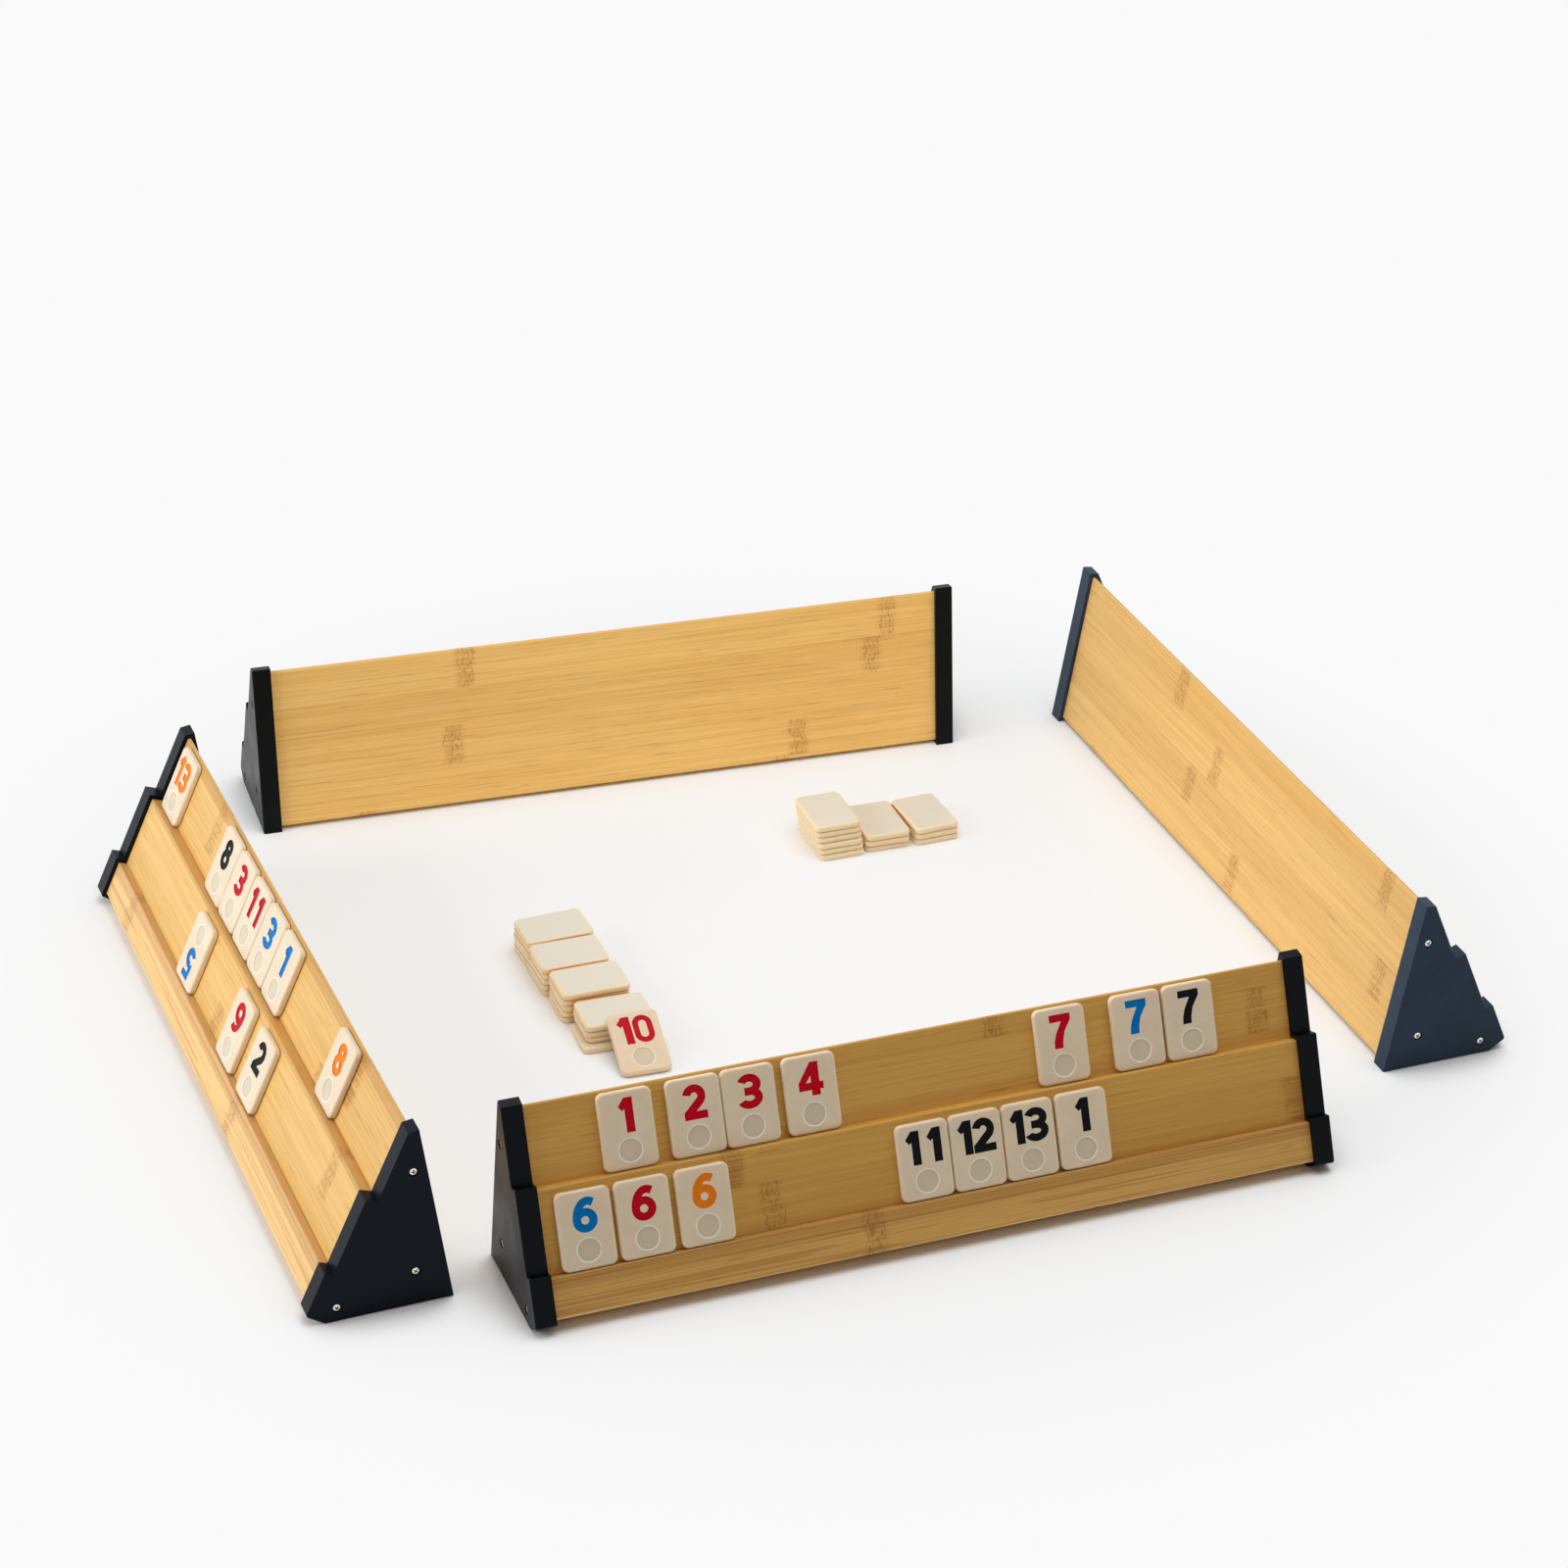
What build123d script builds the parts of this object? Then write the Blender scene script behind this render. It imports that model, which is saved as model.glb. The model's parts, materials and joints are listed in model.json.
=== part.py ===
from build123d import *
import os
from math import cos, radians, sin, sqrt, tan

# A rummy tile set on the table: four stepped racks round the playing field, tiles standing on two
# of them, and stacks of face-down tiles in the middle.
#
# Frame: +Z up, the table top is z = 0, and the origin lies under the middle of the whole set.
# A rack is drawn in its own frame: +X along its length from its left end, -Y towards the side
# with the steps, and its back bottom edge on the X axis. Its section is drawn in the plane of
# "forward" (towards the steps) and "up".

# Rack outline: lengths in millimetres along each face, angles in degrees from the table
rack_length = 412.0
rack_height = 96.3
back_lean = 81.5
face_slope = 66.0
ledge_rise = 20.0
ridge_width = 5.4
upper_face = 37.6
upper_ledge = 6.1
lower_face = 40.5
lower_ledge = 4.3
nose_height = 5.8        # the foot of the rail's face above the table
foot_front = 62.3

# End caps
cap_depth = 10.4
cap_floor = 3.0
cap_rim = 2.3
cap_edge = 0.5
nose_round = 1.6

# Boards
board_fit = 0.1          # gap between a board and the rim that holds it
end_fit = 0.2            # gap between a board's end and the floor of its cap
ridge_drop = 2.6         # the wooden ridge lies this far under the top of the cap
ridge_round = 1.0
lip_round = 0.8          # along the outer edge of each ledge
back_thickness = 8.4
upper_thickness = 7.0
upper_lap = 16.0         # how far the upper panel runs on behind the lower one
rail_thickness = 19.0
batten_thickness = 8.6
batten_height = 16.0
glue_gap = 0.02

# Screws
head_radius = 2.2
head_height = 1.4
head_fit = 0.15
head_sink = 0.25
core_radius = 1.4
core_length = 17.0
core_fit = 0.05
ridge_screw_down = 22.3  # from the top of the cap
batten_screw_up = 18.4
rail_screw_up = 7.3
rail_screw_in = 10.5

# Tiles
tile_width = 26.8
tile_height = 37.5
tile_thickness = 3.4
tile_corner = 3.0
dish_radius = 5.7
dish_depth = 0.35
dish_up = 9.0            # from the tile's bottom edge to the middle of its dish
seat_gap = 0.15          # between a standing tile and its ledge or panel
stack_gap = 0.02
face_edge = 0.5          # softened edge round the face

# The set has many tiles and screws, so their small rounds are drawn as short flats
round_sides = 16
core_sides = 6
same_point = 0.01        # corners closer than this are the same corner

# Racks on the table: the left end of the back bottom edge, and the heading of +X in degrees
rack_starts = {"near": (-206.0, 0.0), "left": (-241.0, 386.1), "right": (272.5, -0.1), "far": (201.7, 397.1)}
rack_headings = {"near": 0.0, "left": -88.71, "right": 90.04, "far": 176.67}

# Standing tiles from the rack's left end: colour, number, free length of ledge before the tile
near_upper_row = [
    ("red", 1, 45.1), ("red", 2, 6.8), ("red", 3, 0.3), ("red", 4, 3.9),
    ("red", 7, 102.4), ("blue", 7, 13.6), ("black", 7, 1.3),
]
near_lower_row = [
    ("blue", 6, 17.4), ("red", 6, 1.8), ("orange", 6, 2.9),
    ("black", 11, 84.0), ("black", 12, 0.5), ("black", 13, 0.6), ("black", 1, 1.3),
]
left_upper_row = [
    ("orange", 13, 17.1), ("black", 8, 63.0), ("red", 3, 0.5), ("red", 11, 0.8),
    ("blue", 3, 0.5), ("blue", 1, 0.6), ("orange", 8, 67.8),
]
left_lower_row = [("blue", 5, 127.6), ("red", 9, 52.0), ("black", 2, 11.3)]
upside_down = ["left_tile_blue_5"]

# Rows of face-down stacks: the middle of the first stack and the heading of the row, then for
# each stack its number of tiles, the space before it, how far it is out of line, and its turn
wall_start = (-94.4, 248.5)
wall_heading = -90.0
wall_counts = [5, 5, 5, 4]
wall_spaces = [0.0, 1.1, 1.3, 1.1]
wall_offsets = [0.0, -0.2, 1.6, 5.7]
wall_turns = [2.0, 0.5, 0.0, -2.0]
pushed_out = (-2.5, -4.0)     # the bottom tile of the wall's last stack

group_start = (90.0, 310.5)
group_heading = 0.0
group_counts = [6, 3, 3]
group_spaces = [0.0, 1.3, 1.7]
group_offsets = [0.0, 0.8, -0.1]
group_turns = [0.0, -1.5, 2.0]
tall_drift = (-0.4, 0.6)      # each tile of the tall first stack from the one under it

# Stacks are built by hand, so their tiles wander a little from layer to layer
untidy_shift = 0.3
untidy_turn = 0.6
layer_phase = 2.3
stack_phase = 1.9

# The tile that leans on the wall's last stack
leaning_offset = 3.1          # from the middle of that stack, along its length
leaning_heading = -3.0
leaning_angle = 24.4
leaning_gap = 0.2             # between its back and the stack's top edge


def walk(start, angle, length):
    """The point that lies length away from start, in the direction angle."""
    return (start[0] + length * cos(radians(angle)), start[1] + length * sin(radians(angle)))


def down_slope(start, height):
    """The point at this height on the sloping face that passes through start."""
    return (start[0] + (start[1] - height) / tan(radians(face_slope)), height)


foot_back = (0.0, 0.0)
ridge_back = (rack_height / tan(radians(back_lean)), rack_height)
ridge_front = walk(ridge_back, back_lean - 90, ridge_width)
upper_root = walk(ridge_front, -face_slope, upper_face)
upper_tip = walk(upper_root, ledge_rise, upper_ledge)
lower_root = walk(upper_tip, -face_slope, lower_face)
lower_tip = walk(lower_root, ledge_rise, lower_ledge)
nose = down_slope(lower_tip, nose_height)
foot_tip = (foot_front, 0.0)
reach = 2 * (rack_height + foot_front)      # longer than any board's section


def corners_at(section, *points):
    """The corners of a section that lie at these points."""
    def is_one(corner):
        return any((corner.center() - Vector(*point)).length < same_point for point in points)

    return section.vertices().filter_by(is_one)


def rack_outline():
    """The stepped section of an end cap, with its nose rounded."""
    corners = [
        foot_back, ridge_back, ridge_front, upper_root, upper_tip, lower_root, lower_tip, nose, foot_tip,
    ]
    section = make_face(Polyline(*corners, close=True))
    return fillet(corners_at(section, nose), nose_round)


def inset(amount):
    """The rack's outline drawn in by amount on every side."""
    return offset(rack_outline(), amount=-amount, kind=Kind.INTERSECTION)


def meeting_point(corner, first_angle, first_gap, second_angle, second_gap):
    """Where two lines through corner meet after each is moved to its left by its gap."""
    ax, ay = -sin(radians(first_angle)), cos(radians(first_angle))
    bx, by = -sin(radians(second_angle)), cos(radians(second_angle))
    scale = ax * by - ay * bx
    across = (first_gap * by - second_gap * ay) / scale
    up = (ax * second_gap - bx * first_gap) / scale
    return (corner[0] + across, corner[1] + up)


def strip(start, angle, depth):
    """A long strip to the right of the line through start along angle, depth wide."""
    return Pos(*start) * Rot(0, 0, angle) * Pos(0, -depth / 2) * Rectangle(2 * reach, depth)


def lengthwise(section, begin, end):
    """A section of the rack pulled along its length, from begin to end."""
    plane = Plane(origin=(begin, 0, 0), x_dir=(0, -1, 0), z_dir=(-1, 0, 0))
    return extrude(plane * section, amount=end - begin, dir=(1, 0, 0))


wood_inset = cap_rim + board_fit
back_skin = meeting_point(foot_back, back_lean, -wood_inset, 0, wood_inset)
upper_corner = meeting_point(upper_root, -face_slope, -wood_inset, ledge_rise, -wood_inset)
lower_corner = meeting_point(lower_root, -face_slope, -wood_inset, ledge_rise, -wood_inset)
panel_lip = meeting_point(upper_tip, -face_slope, -wood_inset, ledge_rise, -wood_inset)
rail_lip = meeting_point(lower_tip, -face_slope, -wood_inset, ledge_rise, -wood_inset)
wood_ridge_back = meeting_point(ridge_back, back_lean, -wood_inset, back_lean - 90, -ridge_drop)
wood_ridge_front = meeting_point(ridge_front, back_lean - 90, -ridge_drop, -face_slope, -wood_inset)
ridge_middle = tuple((a + b) / 2 for a, b in zip(wood_ridge_back, wood_ridge_front))
mitre_angle = 90 + (back_lean - face_slope) / 2
step_depth = upper_ledge * cos(radians(90 - face_slope - ledge_rise))
board_begin = cap_floor + end_fit
board_end = rack_length - board_begin


def wood_section():
    """The outline of all the boards together: the ridge is lowered, and its edges and the lips rounded."""
    section = inset(wood_inset) & strip(wood_ridge_back, back_lean - 90, reach)
    section = fillet(corners_at(section, panel_lip, rail_lip), lip_round)
    return fillet(section.vertices().sort_by(Axis.Y)[-2:], ridge_round)


def in_front_of_mitre():
    return strip(ridge_middle, mitre_angle, reach)


def board_from_back(height, depth):
    """The point at this height, this deep in from the back of the wood."""
    along = (height - back_skin[1]) / tan(radians(back_lean))
    return (back_skin[0] + along + depth / sin(radians(back_lean)), height)


def board_from_rail(height, depth):
    """The point at this height, this deep behind the front of the rail."""
    return (down_slope(rail_lip, height)[0] - depth / sin(radians(face_slope)), height)


ridge_screw = board_from_back(rack_height - ridge_screw_down, back_thickness / 2)
batten_screw = board_from_back(batten_screw_up, back_thickness + glue_gap + batten_thickness / 2)
rail_screw = board_from_rail(rail_screw_up, rail_screw_in)
screw_points = [ridge_screw, batten_screw, rail_screw]


def back_board_section():
    return (wood_section() & strip(back_skin, back_lean, back_thickness)) - in_front_of_mitre()


def upper_panel_section():
    lap_end = walk(upper_corner, -face_slope, upper_lap)
    panel = wood_section() & strip(upper_corner, -face_slope, upper_thickness)
    return (panel & in_front_of_mitre()) - strip(lap_end, 90 - face_slope, reach)


def lower_panel_section():
    panel = wood_section() & strip(lower_corner, -face_slope, step_depth - glue_gap)
    return panel - strip(lower_corner, ledge_rise, reach)


def front_rail_section():
    below = walk(lower_corner, ledge_rise - 90, glue_gap)
    rail = wood_section() & strip(rail_lip, -face_slope, rail_thickness)
    return rail & strip(below, ledge_rise, reach)


def foot_batten_section():
    return Pos(*batten_screw) * Rot(0, 0, back_lean) * Rectangle(batten_height, batten_thickness)


def along_rack(point, begin, shape, length):
    """A shape centred on a point of the section, pulled along the rack from begin."""
    plane = Plane(origin=(begin, -point[0], point[1]), x_dir=(0, 1, 0), z_dir=(1, 0, 0))
    return extrude(plane * shape, amount=length)


def other_end(shape):
    """The same piece at the rack's right end."""
    return Pos(rack_length, 0, 0) * mirror(shape, about=Plane.YZ)


def screw(point):
    """A pan-head screw, its thread stood for by a six-sided core."""
    under_head = head_sink + head_height
    head = along_rack(point, head_sink, RegularPolygon(head_radius, round_sides), head_height)
    return head + along_rack(point, under_head, RegularPolygon(core_radius, core_sides), core_length)


def screw_hole(point):
    """The counterbore and the through hole that a screw takes in the cap and the wood."""
    under_head = head_sink + head_height
    bore = along_rack(point, -1, RegularPolygon(head_radius + head_fit, round_sides), under_head + 1)
    pilot = RegularPolygon(core_radius + core_fit, core_sides)
    return bore + along_rack(point, under_head, pilot, core_length + core_fit)


def left_cap():
    """A moulded tray that follows the stepped outline and takes the ends of the boards."""
    block = lengthwise(rack_outline(), 0, cap_depth)
    outer_face = block.faces().sort_by(Axis.X)[0]
    block = chamfer(outer_face.edges(), cap_edge)
    tray = block - lengthwise(inset(cap_rim), cap_floor, cap_depth + 1)
    for point in screw_points:
        tray -= screw_hole(point)
    return tray


def drilled(section, *points):
    """A board between the two caps, drilled at both ends for its screws."""
    board = lengthwise(section, board_begin, board_end)
    for point in points:
        hole = screw_hole(point)
        board -= hole
        board -= other_end(hole)
    return board


def rack():
    """The eight pieces of one rack, in the rack's own frame."""
    cap = left_cap()
    screws = [screw(point) for point in screw_points]
    return {
        "back_board": drilled(back_board_section(), ridge_screw),
        "upper_panel": drilled(upper_panel_section()),
        "lower_panel": drilled(lower_panel_section()),
        "front_rail": drilled(front_rail_section(), rail_screw),
        "foot_batten": drilled(foot_batten_section(), batten_screw),
        "left_cap": cap,
        "right_cap": other_end(cap),
        "cap_screws": Compound(children=screws + [other_end(one) for one in screws]),
    }


def tile_outline():
    """A rectangle whose round corners are each cut to three flats."""
    first_cut = tile_corner * (2 - sqrt(2))
    second_cut = tile_corner * (tan(radians(22.5)) - tan(radians(11.25)))
    octagon = chamfer(Rectangle(tile_width, tile_height).vertices(), first_cut)
    return Pos(0, tile_height / 2) * chamfer(octagon.vertices(), second_cut)


def blank_tile():
    """A tile seen from its face: X across, Y up, Z out of the face, its bottom middle at zero."""
    body = extrude(tile_outline(), tile_thickness)
    return chamfer(body.faces().sort_by(Axis.Z)[-1].edges(), face_edge)


def number_tile():
    """A tile with the round dish under its number."""
    dish = extrude(RegularPolygon(dish_radius, round_sides), 2 * dish_depth)
    return blank_tile() - Pos(0, dish_up, tile_thickness - dish_depth) * dish


def standing_tile(tile, corner, middle, turned):
    """A tile seated on the ledge that starts at this corner of the boards' section."""
    seat = meeting_point(corner, -face_slope, seat_gap, ledge_rise, seat_gap)
    if turned:
        tile = Pos(0, tile_height, 0) * Rot(0, 0, 180) * tile
    facing = (0, -sin(radians(face_slope)), cos(radians(face_slope)))
    return Plane(origin=(middle, -seat[0], seat[1]), x_dir=(1, 0, 0), z_dir=facing) * tile


def middles(row):
    """Each tile of a row with the distance of its middle from the rack's left end."""
    edge = 0.0
    for colour, number, space in row:
        edge += space + tile_width
        yield colour, number, edge - tile_width / 2


def stack(count, phase, turn):
    """Face-down tiles on each other, a little untidy, round the middle of the bottom one."""
    flat = Pos(0, -tile_height / 2, 0) * blank_tile()
    layers = []
    for layer in range(count):
        wander = sin(layer_phase * layer + phase)
        rise = layer * (tile_thickness + stack_gap)
        layers.append(Pos(0, untidy_shift * wander, rise) * Rot(0, 0, turn + untidy_turn * wander) * flat)
    return layers


def row_of_stacks(start, heading, counts, spaces, offsets, turns):
    """Stacks side by side along the heading, each as the list of its tiles from the bottom up."""
    stacks = []
    for number, count in enumerate(counts):
        along = number * tile_width + sum(spaces[: number + 1])
        place = Pos(*start) * Rot(0, 0, heading) * Pos(along, offsets[number], 0)
        stacks.append([place * tile for tile in stack(count, stack_phase * number, turns[number])])
    return stacks


def tile_wall():
    """Four stacks end to end; the last one stands on a tile that has been pushed out."""
    stacks = row_of_stacks(wall_start, wall_heading, wall_counts, wall_spaces, wall_offsets, wall_turns)
    stacks[-1][0] = Pos(*pushed_out) * stacks[-1][0]
    return Compound(children=[tile for one in stacks for tile in one])


def tile_group():
    """The tall stack, which leans more with each tile, and the low stacks beside it."""
    tall, *low = row_of_stacks(
        group_start, group_heading, group_counts, group_spaces, group_offsets, group_turns
    )
    leaning = [Pos(layer * tall_drift[0], layer * tall_drift[1], 0) * tile for layer, tile in enumerate(tall)]
    return Compound(children=leaning), Compound(children=[tile for one in low for tile in one])


def leaning_tile(tile):
    """The tile whose bottom edge is on the table and whose back leans on the wall's last stack."""
    heading, lean = radians(leaning_heading), radians(leaning_angle)
    wall_end = wall_start[1] - sum(wall_spaces) - (len(wall_counts) - 0.5) * tile_width
    top_edge = wall_counts[-1] * (tile_thickness + stack_gap)
    foot = wall_end - top_edge / tan(lean) - leaning_gap / sin(lean)
    place = (wall_start[0] + wall_offsets[-1] + leaning_offset, foot, 0)
    facing = (sin(heading) * sin(lean), -cos(heading) * sin(lean), cos(lean))
    return Plane(origin=place, x_dir=(cos(heading), sin(heading), 0), z_dir=facing) * tile


def whole_set():
    """Every node of the set by name, with the near rack's back edge on the X axis."""
    places = {name: Pos(*start) * Rot(0, 0, rack_headings[name]) for name, start in rack_starts.items()}
    pieces, tile, nodes = rack(), number_tile(), {}
    for name, place in places.items():
        for piece, shape in pieces.items():
            nodes[f"{name}_{piece}"] = place * shape
    rows = [
        ("near", upper_corner, near_upper_row), ("near", lower_corner, near_lower_row),
        ("left", upper_corner, left_upper_row), ("left", lower_corner, left_lower_row),
    ]
    for name, corner, row in rows:
        for colour, number, middle in middles(row):
            node = f"{name}_tile_{colour}_{number}"
            nodes[node] = places[name] * standing_tile(tile, corner, middle, node in upside_down)
    nodes["table_tile_red_10"] = leaning_tile(tile)
    nodes["tile_wall"] = tile_wall()
    nodes["tall_tile_stack"], nodes["low_tile_stacks"] = tile_group()
    return nodes


def centred(nodes):
    """The same nodes with the origin under the middle of them all."""
    boxes = [shape.bounding_box() for shape in nodes.values()]
    x = (min(b.min.X for b in boxes) + max(b.max.X for b in boxes)) / 2
    y = (min(b.min.Y for b in boxes) + max(b.max.Y for b in boxes)) / 2
    print(f"the near rack's back left foot is at {rack_starts['near'][0] - x:.3f}, {-y:.3f}")
    return {name: Pos(-x, -y, 0) * shape for name, shape in nodes.items()}


os.makedirs("parts", exist_ok=True)
for name, shape in centred(whole_set()).items():
    export_step(shape, f"parts/{name}.step")
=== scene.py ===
"""A rummy tile set laid out on a table: four stepped bamboo racks with moulded end caps, number
tiles standing on two of them, and stacks of face-down tiles between the racks."""

import json
import random
from math import atan2, cos, pi, radians, sin

import bmesh
import bpy
from bpy.props import FloatProperty, FloatVectorProperty, PointerProperty
from mathutils import Matrix, Vector
from mathutils.geometry import delaunay_2d_cdt

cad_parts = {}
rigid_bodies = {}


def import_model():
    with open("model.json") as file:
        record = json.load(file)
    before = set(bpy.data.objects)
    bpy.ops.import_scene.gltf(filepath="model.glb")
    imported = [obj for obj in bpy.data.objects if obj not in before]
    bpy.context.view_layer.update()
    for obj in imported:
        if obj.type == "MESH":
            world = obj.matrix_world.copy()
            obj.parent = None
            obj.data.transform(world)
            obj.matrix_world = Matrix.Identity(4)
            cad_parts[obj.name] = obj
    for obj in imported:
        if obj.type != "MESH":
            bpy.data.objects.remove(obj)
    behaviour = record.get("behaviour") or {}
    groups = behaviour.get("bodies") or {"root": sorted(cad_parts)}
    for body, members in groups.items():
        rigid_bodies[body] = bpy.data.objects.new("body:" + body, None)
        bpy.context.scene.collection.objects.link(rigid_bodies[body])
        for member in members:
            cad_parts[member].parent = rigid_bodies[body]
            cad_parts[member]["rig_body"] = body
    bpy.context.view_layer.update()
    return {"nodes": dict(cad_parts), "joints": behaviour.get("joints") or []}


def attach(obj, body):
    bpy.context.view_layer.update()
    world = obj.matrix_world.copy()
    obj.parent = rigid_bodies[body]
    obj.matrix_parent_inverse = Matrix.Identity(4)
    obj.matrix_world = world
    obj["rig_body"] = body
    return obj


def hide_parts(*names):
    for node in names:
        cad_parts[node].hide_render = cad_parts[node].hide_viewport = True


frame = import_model()

bl_info = {
    "name": "Rummy Tile Set",
    "version": (1, 0, 0),
    "blender": (4, 5, 0),
    "location": "View3D > Sidebar > Rummy Set",
    "description": "Bamboo tile racks, engraved number tiles and stacks of face-down tiles",
    "category": "Add Mesh",
}

MM = 0.001
WELD = 1e-6
SAME_PLACE = 1e-7
RACKS = ("near", "left", "right", "far")
BOARDS = ("back_board", "upper_panel", "lower_panel", "front_rail", "foot_batten")
CAPS = ("left_cap", "right_cap")


def tint(red, green, blue):
    """A linear colour from the 0 to 255 values that a screen shows."""
    def linear(value):
        share = value / 255
        return share / 12.92 if share <= 0.04045 else ((share + 0.055) / 1.055) ** 2.4

    return (linear(red), linear(green), linear(blue))


# Settings

def length(name, description, default):
    return FloatProperty(
        name=name, description=description, default=default, min=0, unit="LENGTH", precision=5
    )


def angle(name, description, degrees):
    return FloatProperty(name=name, description=description, default=radians(degrees), subtype="ANGLE")


def share(name, description, default, top=1.0):
    return FloatProperty(name=name, description=description, default=default, min=0, max=top)


def paint(name, description, default):
    return FloatVectorProperty(
        name=name, description=description, default=default, min=0, max=1, size=3, subtype="COLOR"
    )


def lamp_place(name, description, default):
    return FloatVectorProperty(
        name=name, description=description, default=default, size=3, subtype="XYZ", unit="LENGTH"
    )


def lamp_power(name, description, default):
    return FloatProperty(name=name, description=description, default=default, min=0, unit="POWER")


class BambooSettings(bpy.types.PropertyGroup):
    pale: paint("Pale bamboo", "Colour of the lightest fibres", tint(240, 199, 124))
    deep: paint("Deep bamboo", "Colour of the darker streaks", tint(226, 177, 97))
    vein: paint("Vein", "Colour of the thin brown fibres", tint(164, 108, 52))
    knot: paint("Knot", "Colour of the short dashes at a bamboo joint", tint(178, 112, 48))
    rail: paint("Rail", "Colour of the rail, where the layers' edges show", tint(245, 202, 139))
    rail_line: paint("Rail line", "Colour of the long lines along the rail", tint(170, 100, 52))
    strip_width: length("Strip width", "Width of the bamboo strips glued side by side", 0.0225)
    knot_reach: length("Knot reach", "Half of the length of a strip that a joint marks", 0.0058)
    knot_column: length("Knot column", "Distance between two columns of dashes at a joint", 0.0026)
    knot_spacing: length("Knot spacing", "Usual distance between two joints of a strip", 0.25)
    edge_round: length("Edge round", "Softening of the boards' long edges", 0.0007)
    tone_change: share("Tone change", "How much the strips differ in brightness", 0.03)


class CapSettings(bpy.types.PropertyGroup):
    plastic: paint("Plastic", "Colour of the moulded end caps", tint(12, 18, 27))
    roughness: share("Roughness", "Satin finish of the caps", 0.34)
    edge_round: length("Edge round", "Softening of the caps' edges", 0.0003)


class ScrewSettings(bpy.types.PropertyGroup):
    nickel: paint("Nickel", "Colour of the screws", tint(248, 244, 236))
    # Painted shade: the bottom of the cross recess is coloured dark.
    soil: paint("Recess", "Colour at the bottom of the cross recess", tint(44, 38, 32))
    head_radius: length("Head radius", "Radius of the pan head", 0.0022)
    head_height: length("Head height", "Height of the pan head", 0.0014)
    core_radius: length("Core radius", "Radius of the screw under its thread", 0.0010)
    thread_radius: length("Thread radius", "Radius over the thread", 0.0014)
    pitch: length("Pitch", "Distance between two turns of the thread", 0.0012)
    length: length("Length", "Length under the head", 0.017)
    cross_reach: length("Cross reach", "Half of the length of the cross recess", 0.0013)
    cross_width: length("Cross width", "Width of the cross recess", 0.0006)
    cross_depth: length("Cross depth", "Depth of the cross recess", 0.0008)


class TileSettings(bpy.types.PropertyGroup):
    ivory: paint("Ivory", "Colour of the tiles", tint(239, 223, 197))
    # Painted glow: the sides of a lying tile are coloured lighter and warmer, as light through the plastic
    # would make them.
    edge: paint("Edge", "Colour of the glowing sides of a lying tile", tint(255, 231, 197))
    # Painted shade: the floor of the dish is coloured darker than the tile's face.
    dish: paint("Dish", "Colour of the floor of the round dish", tint(226, 213, 189))
    # Painted highlight: the low ring round the dish is coloured lighter than the tile's face.
    ring: paint("Ring", "Colour of the low ring round the dish", tint(252, 246, 232))
    red: paint("Red", "Paint of the red numbers", tint(204, 6, 34))
    blue: paint("Blue", "Paint of the blue numbers", tint(0, 124, 204))
    orange: paint("Orange", "Paint of the orange numbers", tint(246, 138, 26))
    black: paint("Black", "Paint of the black numbers", tint(6, 7, 10))
    width: length("Width", "Width of a tile", 0.0268)
    height: length("Height", "Height of a tile", 0.0375)
    thickness: length("Thickness", "Thickness of a tile", 0.0034)
    corner: length("Corner", "Radius of a tile's corners", 0.0034)
    face_round: length("Face round", "Softening round a tile's face", 0.0013)
    back_round: length("Back round", "Softening round a tile's back", 0.0009)
    baseline: length("Baseline", "From a tile's bottom edge to the foot of its number", 0.01735)
    engraving: length("Engraving", "Depth of the numbers", 0.00040)
    dish_up: length("Dish place", "From a tile's bottom edge to the middle of its dish", 0.0090)
    dish_radius: length("Dish radius", "Radius of the floor of the round dish", 0.0054)
    dish_rim: length("Dish rim", "Width of the low ring round the dish", 0.00085)
    dish_depth: length("Dish depth", "Depth of the round dish", 0.00035)


class StudioSettings(bpy.types.PropertyGroup):
    floor: paint("Floor", "Colour of the pale floor", tint(249, 252, 255))
    camera_place: lamp_place("Camera", "Place of the camera", (-0.641229, -1.628919, 1.080578))
    camera_turn: angle("Camera turn", "How far the camera is turned to the right", 21.634)
    camera_tilt: angle("Camera tilt", "How far the camera looks down", 29.152)
    camera_roll: angle("Camera roll", "How far the camera leans to one side", 1.503)
    lens: FloatProperty(name="Lens", description="Focal length on a 36 mm sensor", default=87.88)
    top_box_place: lamp_place("Top box", "Place of the soft box over the set", (0.08, -0.06, 0.60))
    top_box_size: length("Top box size", "Side of the soft box over the set", 0.7)
    top_box_power: lamp_power("Top box power", "Power of the soft box over the set", 2.35)
    side_box_place: lamp_place("Side box", "Place of the soft box at the left", (-1.35, 0.10, 0.55))
    side_box_size: length("Side box size", "Side of the soft box at the left", 0.8)
    side_box_power: lamp_power("Side box power", "Power of the soft box at the left", 9.5)
    sky: share("Fill", "Strength of the light from round about", 0.42, 3.0)
    front_sky: share("Front fill", "Strength of the light from the front, where it is dimmer", 0.20, 3.0)
    front_tint: paint("Front tint", "Colour of the light from the front", tint(255, 232, 204))
    backdrop: share("Backdrop", "Brightness of the floor and the wall where they are far away", 0.95)


class RummySetSettings(bpy.types.PropertyGroup):
    bamboo: PointerProperty(type=BambooSettings)
    caps: PointerProperty(type=CapSettings)
    screws: PointerProperty(type=ScrewSettings)
    tiles: PointerProperty(type=TileSettings)
    studio: PointerProperty(type=StudioSettings)


# Mesh work

FLAT = radians(0.6)
SHARP = radians(30)
SHADED_SMOOTH = 35


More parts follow.
